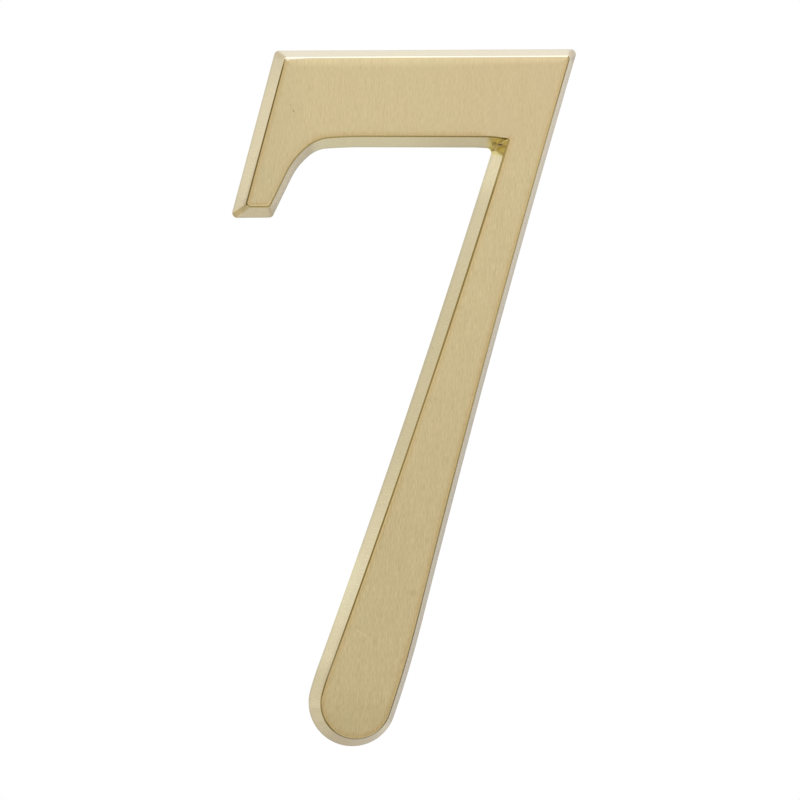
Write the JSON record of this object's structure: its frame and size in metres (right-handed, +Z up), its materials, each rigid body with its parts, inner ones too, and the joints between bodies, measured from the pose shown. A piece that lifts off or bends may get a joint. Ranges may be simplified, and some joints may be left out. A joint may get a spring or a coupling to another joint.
{
  "type": "house number",
  "caption": "Italic serif figure seven in solid brass for a door or wall, with a flat brushed face, drafted sides and hidden threaded studs on its back.",
  "frame": {"origin": "on the wall plane, midway between the axes of the two studs", "axes": "+Z up the number as it is read, +X to the reader's right, +Y into the wall, so the face looks towards -Y"},
  "size_m": [0.0603, 0.0277, 0.1206],
  "materials": {
    "satin_brass": "flat face brushed lengthways, sides satin, all under clear lacquer",
    "stud_steel": "plain zinc-plated thread"
  },
  "bodies": {
    "root": {"number_seven": "satin_brass", "mounting_studs": "stud_steel"}
  },
  "joints": []
}
